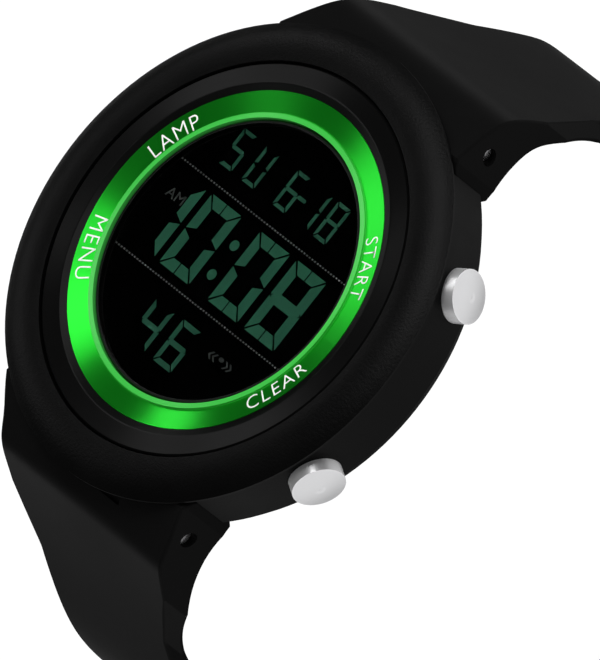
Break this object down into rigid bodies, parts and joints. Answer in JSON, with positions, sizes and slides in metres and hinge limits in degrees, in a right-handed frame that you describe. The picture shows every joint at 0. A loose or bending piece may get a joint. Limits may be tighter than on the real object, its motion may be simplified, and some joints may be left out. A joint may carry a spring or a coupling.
{
  "type": "digital watch",
  "caption": "Round digital wrist watch with a black resin case, green metal dial ring, steel push buttons and an unbuckled black rubber strap.",
  "frame": {"origin": "centre of the case back's flat outer face", "axes": "+Z out of the dial, +X towards 3 o'clock, +Y towards 12 o'clock"},
  "size_m": [0.049, 0.0753, 0.0912],
  "materials": {
    "case_resin": "matte",
    "gloss_black": "gloss",
    "green_metal": "anodised",
    "crystal_clear": "polished",
    "display_glass": "dark display cell",
    "display_film": "film",
    "lamp_film": "film",
    "seal_rubber": "matte",
    "zebra_rubber": "striped",
    "module_plastic": "matte",
    "board_laminate": "solder mask",
    "chip_epoxy": "matte",
    "can_metal": "satin",
    "buzzer_brass": "satin",
    "back_steel": "brushed",
    "button_steel": "polished",
    "strap_rubber": "matte",
    "buckle_steel": "satin"
  },
  "bodies": {
    "case": {"case_body": "case_resin", "bezel_cover": "case_resin", "inner_ring": "gloss_black", "dial_ring": "green_metal", "crystal": "crystal_clear", "crystal_gasket": "seal_rubber", "front_polarizer": "display_film", "lcd_cell": "display_glass", "rear_polarizer": "display_film", "backlight_panel": "lamp_film", "zebra_strip_upper": "zebra_rubber", "zebra_strip_lower": "zebra_rubber", "module_frame": "module_plastic", "circuit_board": "board_laminate", "processor_chip": "chip_epoxy", "quartz_can": "can_metal", "lamp_coil": "chip_epoxy", "side_contacts": "can_metal", "battery_cell": "can_metal", "battery_clip": "can_metal", "buzzer_disc": "buzzer_brass", "buzzer_spring": "can_metal", "case_back": "back_steel", "case_back_gasket": "seal_rubber", "case_back_screws": "back_steel", "upper_strap_pin": "can_metal", "lower_strap_pin": "can_metal", "button_start_spring": "can_metal", "button_light_spring": "can_metal", "button_mode_spring": "can_metal", "button_reset_spring": "can_metal"},
    "button_start": {"button_start": "button_steel", "button_start_seal": "seal_rubber", "button_start_clip": "can_metal"},
    "button_light": {"button_light": "button_steel", "button_light_seal": "seal_rubber", "button_light_clip": "can_metal"},
    "button_mode": {"button_mode": "button_steel", "button_mode_seal": "seal_rubber", "button_mode_clip": "can_metal"},
    "button_reset": {"button_reset": "button_steel", "button_reset_seal": "seal_rubber", "button_reset_clip": "can_metal"},
    "upper_strap": {"strap_buckle_side": "strap_rubber", "buckle_bar": "buckle_steel"},
    "lower_strap": {"strap_hole_side": "strap_rubber"},
    "buckle": {"buckle_frame": "buckle_steel"},
    "tongue": {"buckle_tongue": "buckle_steel"},
    "keeper": {"strap_keeper": "strap_rubber"}
  },
  "joints": [
    {"name": "button_start_press", "type": "slide", "parent": "case", "child": "button_start", "axis": [-0.8957, -0.4446, 0], "range_m": [0, 0.0007], "stiffness_N_per_m": 600, "springref_m": -0.001, "deforming": ["button_start_spring"]},
    {"name": "button_light_press", "type": "slide", "parent": "case", "child": "button_light", "axis": [0.8957, -0.4446, 0], "range_m": [0, 0.0007], "stiffness_N_per_m": 600, "springref_m": -0.001, "deforming": ["button_light_spring"]},
    {"name": "button_mode_press", "type": "slide", "parent": "case", "child": "button_mode", "axis": [0.8957, 0.4446, 0], "range_m": [0, 0.0007], "stiffness_N_per_m": 600, "springref_m": -0.001, "deforming": ["button_mode_spring"]},
    {"name": "button_reset_press", "type": "slide", "parent": "case", "child": "button_reset", "axis": [-0.8957, 0.4446, 0], "range_m": [0, 0.0007], "stiffness_N_per_m": 600, "springref_m": -0.001, "deforming": ["button_reset_spring"]},
    {"name": "upper_strap_hinge", "type": "hinge", "parent": "case", "child": "upper_strap", "pos_m": [0, 0.0226, 0.0053], "axis": [1, 0, 0], "range_deg": [0, 20]},
    {"name": "lower_strap_hinge", "type": "hinge", "parent": "case", "child": "lower_strap", "pos_m": [0, -0.0226, 0.0053], "axis": [-1, 0, 0], "range_deg": [0, 20]},
    {"name": "buckle_hinge", "type": "hinge", "parent": "upper_strap", "child": "buckle", "pos_m": [0, 0.02884, -0.06745], "axis": [1, 0, 0], "range_deg": [-25, 60]},
    {"name": "tongue_hinge", "type": "hinge", "parent": "buckle", "child": "tongue", "pos_m": [0, 0.02884, -0.06745], "axis": [1, 0, 0], "range_deg": [0, 70]},
    {"name": "keeper_slide", "type": "slide", "parent": "upper_strap", "child": "keeper", "axis": [0, 0, 1], "range_m": [-0.006, 0.006]}
  ]
}
